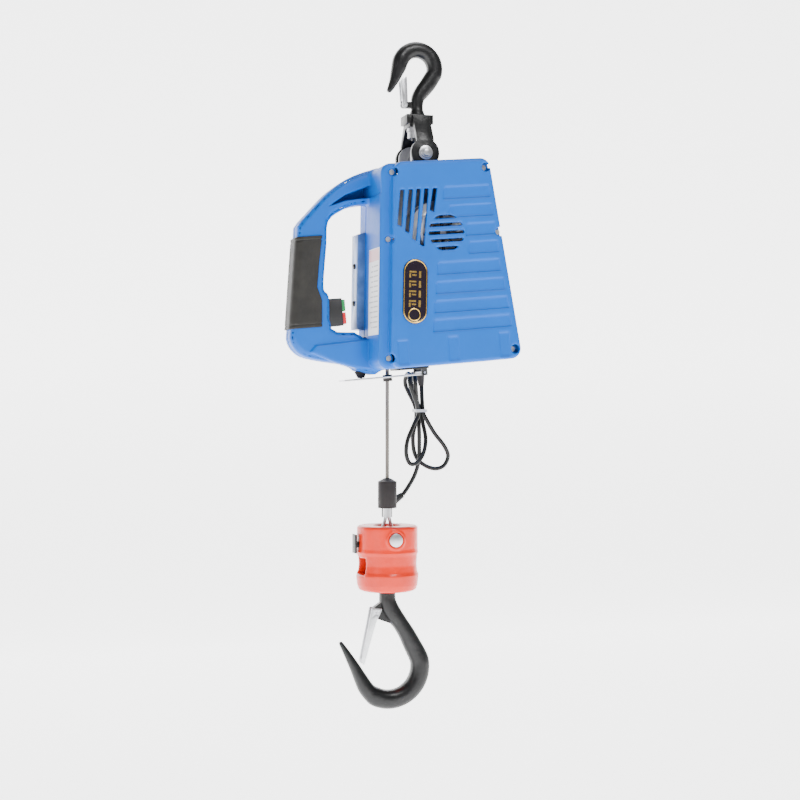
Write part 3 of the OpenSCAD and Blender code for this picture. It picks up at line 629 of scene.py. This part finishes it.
def make_rear_shell():
    field = Field((-212, -2, FIELD_FLOOR), (108, 78, FIELD_CEILING), shell_step())
    y = field.y
    case = case_field(field, CASE_CORNERS)
    outer, opening = hand_loop_field(field)
    loop = np.maximum(outer, -opening)
    back = case_field(field, BACK_CORNERS)
    solid = rimmed(case, y - BACK_STEP, 5)
    solid = joined(solid, rimmed(back, y - REAR, 8), 4)
    solid = joined(solid, rimmed(loop, y - HANDLE_HALF, LOOP_ROUND), 5)
    inside = np.maximum(case + WALL, y - BACK_STEP + WALL)
    inside = joined(inside, np.maximum(back + WALL, y - REAR + WALL))
    solid = carved(solid, inside)
    arm = np.maximum(np.maximum(loop + WALL, y - HANDLE_HALF + WALL), -case)
    solid = carved(solid, arm)
    for spot in SCREW_SPOTS:
        boss = np.maximum(np.maximum(field.disc(spot, BOSS_R), y - BACK_STEP + 1), case + 1)
        solid = joined(solid, boss, 1)
        solid = carved(solid, np.maximum(field.disc(spot, SCREW_HOLE_R), y - 20), 0.3)
    for row in range(7):
        for left in (-40, 6):
            slot_box = np.maximum(np.abs(field.x - (left + 18)) - 18,
                                  np.abs(field.z + 71.5 + row * 12) - 2.6)
            solid = carved(solid, np.maximum(slot_box, REAR - 6 - y), 1.0)
    for row in range(4):
        bar = np.maximum(np.abs(field.x) - 60, np.abs(field.z + 186 + row * 24) - 6)
        solid = carved(solid, rimmed(bar, REAR - 1.5 - y, 1.2), 1.6)
    solid = case_cuts(field, solid)
    solid = np.maximum(solid, PARTING_GAP - y)
    mesh = field_mesh("rear_shell_moulded", field, solid, 0.004, leaned=True)
    return add_object("rear_shell_moulded", mesh, "casing", "case_blue", ("rear_shell",))


def make_grip():
    field = Field((-214, -25, -230), (-146, 25, -98), 0.9)
    outer, opening = hand_loop_field(field)
    zone = field.outline([(-150, -103), (-190, -103), (-212, -226), (-161, -226), (-158, -190),
                          (-163, -172), (-157.5, -139)])
    sleeve = rimmed(outer - 2.6, np.abs(field.y) - HANDLE_HALF - 2.4, 11)
    sleeve = rimmed(sleeve, zone, 1.2)
    # Fine grooves round the sleeve near its two ends
    for top in (-108, -221):
        ring = np.abs(field.z - top) - 0.7
        sleeve = carved(sleeve, np.maximum(ring, -(sleeve + 0.9)), 0.6)
    core = rimmed(np.maximum(outer, -opening), np.abs(field.y) - HANDLE_HALF, LOOP_ROUND)
    sleeve = carved(sleeve, core)
    mesh = field_mesh("hand_grip_moulded", field, sleeve, 0.003, leaned=True)
    return add_object("hand_grip_moulded", mesh, "casing", "grip_rubber", ("hand_grip",))


def slab_faces(n):
    """Faces of a slab whose verts are its near outline of n points, then its far one."""
    faces = [tuple(range(n)), tuple(reversed(range(n, 2 * n)))]
    return faces + [(i, n + i, n + (i + 1) % n, (i + 1) % n) for i in range(n)]


def leaned_slab(points, y0, y1):
    """Verts and faces of an outline in x and z drawn out from y0 to y1, at the casing's lean."""
    verts = [upright_point(x, y, z) for y in (y0, y1) for x, z in points]
    return verts, slab_faces(len(points))


def gathered(name, shapes, sharp_degrees=40):
    """One mesh of several (verts, faces) shapes."""
    verts, faces = [], []
    for some, more in shapes:
        faces += [tuple(v + len(verts) for v in face) for face in more]
        verts += list(some)
    return mesh_of(name, verts, faces, sharp_degrees)


def on_badge(x, z):
    """A point of the tilted badge, in the casing's upright frame."""
    return (BADGE[0] + x * math.cos(BADGE_TILT) - z * math.sin(BADGE_TILT),
            BADGE[1] + x * math.sin(BADGE_TILT) + z * math.cos(BADGE_TILT))


def stadium(half, steps=24):
    """The badge's outline at a given half width."""
    ring = []
    for end in (1, -1):
        for k in range(steps + 1):
            a = math.pi * k / steps + (0 if end > 0 else math.pi)
            ring.append(on_badge(half * math.cos(a), end * BADGE_LONG + half * math.sin(a)))
    return ring


def make_badge():
    """A domed dark badge, with a gold rim and a plain pattern of bars and a ring."""
    levels = [(BADGE_HALF, 0.8), (BADGE_HALF, -0.1), (16.4, -0.5), (12, -0.62),
              (6, -0.68), (0.5, -0.7)]
    verts, faces = [], []
    n = len(stadium(BADGE_HALF))
    for half, rise in levels:
        verts += [upright_point(x, FRONT + rise, z) for x, z in stadium(half)]
    for i in range(len(levels) - 1):
        for k in range(n):
            m = (k + 1) % n
            faces.append((i * n + k, (i + 1) * n + k, (i + 1) * n + m, i * n + m))
    faces.append(tuple((len(levels) - 1) * n + k for k in range(n)))
    faces.append(tuple(reversed(range(n))))
    mesh = mesh_of("badge_dome", verts, faces)
    add_object("badge_dome", mesh, "casing", "badge", ("front_badge",))
    rim_line = [upright_point(x, FRONT - 0.35, z) / MM for x, z in stadium(15.6)]
    shapes = []
    rim_line.append(rim_line[0])
    verts, faces = round_tube(np.array(rim_line), 0.75, 8)
    shapes.append((in_metres(verts), faces))
    for row in range(4):
        base = 27 - row * 13
        for x0, x1, z0, z1 in ((-9, 1, base, base - 2.2), (-9, -6.6, base - 3.4, base - 9),
                               (-5, 1, base - 4.4, base - 6.4), (4.5, 7.5, base, base - 9)):
            corners = [on_badge(x0, z0), on_badge(x1, z0), on_badge(x1, z1), on_badge(x0, z1)]
            shapes.append(leaned_slab(corners, FRONT - 1.0, FRONT - 0.5))
    ring = []
    for k in range(25):
        a = 2 * math.pi * k / 24
        x, z = on_badge(-1 + 8 * math.cos(a), -31 + 8 * math.sin(a))
        ring.append(upright_point(x, FRONT - 0.7, z) / MM)
    verts, faces = round_tube(np.array(ring), 0.8, 8)
    shapes.append((in_metres(verts), faces))
    add_object("badge_gold", gathered("badge_gold", shapes), "casing", "gold")


def flank_x(z):
    """Where the casing's handle side stands at a height."""
    return -74.4 + (z - CASE_TOP) * 27.6 / 273.5


def flank_panel(y0, y1, z0, z1, proud, thick):
    """A thin box lying on the handle side of the casing."""
    rows = [(flank_x(z0) - proud, z0), (flank_x(z1) - proud, z1),
            (flank_x(z1) - proud - thick, z1), (flank_x(z0) - proud - thick, z0)]
    return leaned_slab(rows, y0, y1)


def make_rating_plate():
    """A white plate with a pink head and grey rules in place of print."""
    plate = gathered("rating_sheet", [flank_panel(-69, -21, -127, -243, 0, 0.6)])
    add_object("rating_sheet", plate, "casing", "label_white", ("rating_plate",))
    head = gathered("rating_head", [flank_panel(-68, -22, -128, -144, 0.6, 0.12)])
    add_object("rating_head", head, "casing", "label_pink")
    rules = []
    for row in range(13):
        z = -150 - row * 6.8
        rules.append(flank_panel(-65, -45, z, z - 1.8, 0.6, 0.1))
        rules.append(flank_panel(-42, -42 + 6 + (row * 5) % 12, z, z - 1.8, 0.6, 0.1))
    add_object("rating_rules", gathered("rating_rules", rules), "casing", "label_grey")


# ---------------------------------------------------------------- hooks
def make_hook(name, body, node, stations, extras=()):
    """A forged hook: rows of x, z, half width and half depth along its middle line."""
    rows = catmull(stations, 6)
    line = np.array([(x, 0.0, z) for x, z in rows[:, :2]])
    ways = np.gradient(line, axis=0)
    ways /= np.linalg.norm(ways, axis=1)[:, None]
    sides = 28
    verts = []
    for (x, z, wide, deep), way in zip(rows, ways):
        across = np.array([way[2], 0.0, -way[0]])
        for k in range(sides):
            a = 2 * math.pi * k / sides
            power = 0.84
            u = math.copysign(abs(math.cos(a)) ** power, math.cos(a))
            v = math.copysign(abs(math.sin(a)) ** power, math.sin(a))
            verts.append((np.array([x, 0, z]) + across * wide * u + np.array([0, deep * v, 0])))
    count = len(rows)
    faces = [(i * sides + k, i * sides + (k + 1) % sides, (i + 1) * sides + (k + 1) % sides,
              (i + 1) * sides + k) for i in range(count - 1) for k in range(sides)]
    faces += [tuple(reversed(range(sides))), tuple((count - 1) * sides + k for k in range(sides))]
    shapes = [(in_metres(verts), faces)] + list(extras)
    mesh = gathered(name, shapes, 50)
    work = bmesh.new()
    work.from_mesh(mesh)
    bmesh.ops.recalc_face_normals(work, faces=work.faces)
    work.to_mesh(mesh)
    work.free()
    return add_object(name, mesh, body, "forged_black", (node,))


def upright_slab(points, y0, y1):
    """Verts and faces of an outline in x and z drawn out along y, with no lean."""
    verts = [Vector((x * MM, y * MM, z * MM)) for y in (y0, y1) for x, z in points]
    return verts, slab_faces(len(points))


def ring_stations(centre, radius, start, end, wide, deep, count):
    rows = []
    for k in range(count):
        a = math.radians(start + (end - start) * k / (count - 1))
        rows.append((centre[0] + radius * math.cos(a), centre[1] + radius * math.sin(a),
                     wide, deep))
    return rows


def make_hooks():
    neck = [(0, -100.5, 8, 8), (0, -80, 8, 8), (0, -66, 8, 8), (0, -65, 10.6, 10.6),
            (0, -61, 9.4, 9.4), (0, -57, 8.2, 8.2), (0, -49, 8.6, 8.2), (1.5, -41, 9.2, 8.4),
            (6.5, -33, 10.4, 8.8), (15, -22, 11.2, 9.2), (21.8, -11.5, 11.2, 9.7)]
    arc = ring_stations((0, 0), 25.6, -14, 158, 11.1, 10, 10)
    tip = [(-26.6, 0, 10.2, 9), (-29.4, -8, 8.6, 7.8), (-32.2, -16, 7, 6.8),
           (-35.2, -23, 5.6, 5.8), (-38.4, -29.5, 4.4, 4.8), (-40.8, -33.8, 3.2, 3.8),
           (-41.6, -35.2, 1.4, 1.8)]
    lug = upright_slab([(-5, -47.5), (-20, -47.6), (-22, -49), (-22, -55), (-20.5, -56),
                        (-5, -56)], -3.5, 3.5)
    make_hook("top_hook_forged", "top_hook", "top_hook", neck + arc + tip, [lug])
    bx, bz = LOAD_BOWL
    shank = [(-3, 141.5, 11, 11), (-3, 125, 11, 11), (-3, 110, 11, 11), (-3, 98, 11.2, 11),
             (-2.5, 91, 11.6, 11.2), (0, 83, 12.2, 11.4), (6, 73, 11.8, 11.6),
             (16, 59.5, 10.9, 11.6), (24.5, 46, 11.4, 12), (32.4, 31, 12.4, 12.2),
             (39.2, 18, 13, 12.4)]
    bowl = ring_stations((0, 0), 44.2, 10, -118, 13.2, 12.8, 11)
    beak = [(-29, -32.6, 11.4, 12.2), (-34.8, -25.4, 10.6, 11.6), (-39.8, -16.4, 9.6, 10.6),
            (-44.4, -7.6, 8.4, 9.6), (-49.4, 2, 7.2, 8.4), (-55, 12, 6, 7.2),
            (-60.5, 21.6, 4.8, 5.8), (-65.6, 30.2, 3.6, 4.2), (-69.4, 36.4, 2.6, 3),
            (-70.4, 38, 1.2, 1.4)]
    rows = [(bx + x, bz + z, w, d) for x, z, w, d in shank + bowl + beak]
    ear = upright_slab([(bx + x, bz + z) for x, z in
                        ((-3, 94), (-14, 90), (-23, 84), (-25.5, 81), (-26, 73), (-24, 70),
                         (-11, 65), (8, 58))], -4.5, 4.5)
    make_hook("load_hook_forged", "load_hook", "load_hook", rows, [ear])


# ---------------------------------------------------------------- rope and cord
def make_rope():
    """Six strands laid round a core."""
    top, bottom = -359.0, STOPPER_Z - 44
    turns = (top - bottom) / 29.0
    steps = 180
    height = np.linspace(top, bottom, steps)
    shapes = []
    for strand in range(6):
        angle = 2 * math.pi * (strand / 6 + turns * (top - height) / (top - bottom))
        line = np.stack([ROPE_X + 1.9 * np.cos(angle), 1.9 * np.sin(angle), height], axis=1)
        verts, faces = round_tube(line, 0.84, 8)
        shapes.append((in_metres(verts), faces))
    core = np.stack([np.full(40, ROPE_X), np.zeros(40), np.linspace(top, bottom, 40)], axis=1)
    verts, faces = round_tube(core, 1.0, 8)
    shapes.append((in_metres(verts), faces))
    mesh = gathered("rope_strands", shapes, 60)
    piece = bpy.data.objects.new("rope_strands", mesh)
    bpy.context.scene.collection.objects.link(piece)
    mesh.materials.append(finish_of("wire_rope"))
    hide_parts("rope_fall")
    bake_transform(piece)


def make_cord():
    """The power cord, from its gland through the tied hank to the plug."""
    line = catmull(CORD_ROUTE, 8)
    verts, faces = round_tube(line, CORD_R, 16)
    mesh = gathered("cord_lead", [(in_metres(verts), faces)], 60)
    piece = add_object("cord_lead", mesh, "casing", "cord_pvc", ("power_cord",))


# ---------------------------------------------------------------- block
def make_block():
    """The cast block, with its rope socket, hook chamber, window and pin seat."""
    step = 0.9
    field = Field((ROPE_X - 47, -47, BLOCK_BOTTOM - 3), (ROPE_X + 47, 47, BLOCK_TOP + 3), step)
    radius = np.hypot(field.x - ROPE_X, field.y)
    heights = [0, 3, 9, 23, 27, 36, 50, 54, 58, 87, 90]
    widths = [37, 40, 42, 43.4, 41.5, 40.5, 41.4, 42.8, 42, 42, 41]
    outline = np.interp(field.z - BLOCK_BOTTOM, heights, widths)
    solid = rimmed(radius - outline, np.maximum(field.z - BLOCK_TOP, BLOCK_BOTTOM - field.z), 3)
    boss = np.maximum(np.hypot(field.x - ROPE_X, field.z - PIN_Z) - 13, field.y + 20)
    solid = joined(solid, rimmed(boss, -42.4 - field.y, 1.0), 3)
    solid = carved(solid, np.maximum(radius - 18, BLOCK_TOP - 38 - field.z), 3)
    lower = np.maximum(radius - 28, np.abs(field.z - BLOCK_BOTTOM - 35) - 13)
    solid = carved(solid, lower)
    solid = carved(solid, np.maximum(radius - 11.4, field.z - BLOCK_BOTTOM - 30), 1.5)
    window = np.maximum(np.abs(field.y) - 17, np.abs(field.z - BLOCK_BOTTOM - 34.5) - 11.5)
    window = np.maximum(window, field.x - ROPE_X + 20)
    solid = carved(solid, window, 4)
    head_seat = np.maximum(np.hypot(field.x - ROPE_X, field.z - PIN_Z) - 10.2, field.y + 40.5)
    solid = carved(solid, head_seat, 1.2)
    bore = np.hypot(field.x - ROPE_X, field.z - PIN_Z) - 6.1
    solid = carved(solid, bore, 0.4)
    mesh = field_mesh("block_cast", field, solid, 0.002)
    add_object("block_cast", mesh, "load_block", "block_orange", ("block_casting",))


# ---------------------------------------------------------------- everything
def slot_of(node):
    return next(s["material_slot"] for s in frame["record"]["subparts"] if s["node"] == node)


def body_of(node):
    return next(b for b, names in frame["record"]["behaviour"]["bodies"].items() if node in names)


def round_edges():
    """CAD pieces that keep their shape and get rounded edges, by the width in millimetres."""
    widths = {
        "yoke": 1.6, "switch_box": 1.5, "up_button": 1.2, "down_button": 1.2, "side_cover": 2.0,
        "limit_bracket": 0.5, "limit_plate": 0.4, "block_clip": 0.6, "mains_plug": 1.0,
        "block_pin": 0.8, "suspension_bolt": 0.8, "bolt_nut": 0.6, "bolt_washers": 0.4,
        "rope_stopper": 0.8, "top_latch": 0.4, "load_latch": 0.4,
    }
    for node, width in widths.items():
        bevelled(node, body_of(node), slot_of(node), width)


def dress_nodes():
    """Every CAD node that still shows takes its slot's finish."""
    for name, node in frame["nodes"].items():
        material = finish_of(slot_of(name))
        if not node.data.materials:
            node.data.materials.append(material)
        for i in range(len(node.material_slots)):
            node.material_slots[i].material = material


make_camera()
make_studio()
make_cord()
make_rope()
make_front_shell()
make_rear_shell()
make_grip()
make_badge()
make_rating_plate()
make_hooks()
make_block()
round_edges()
dress_nodes()
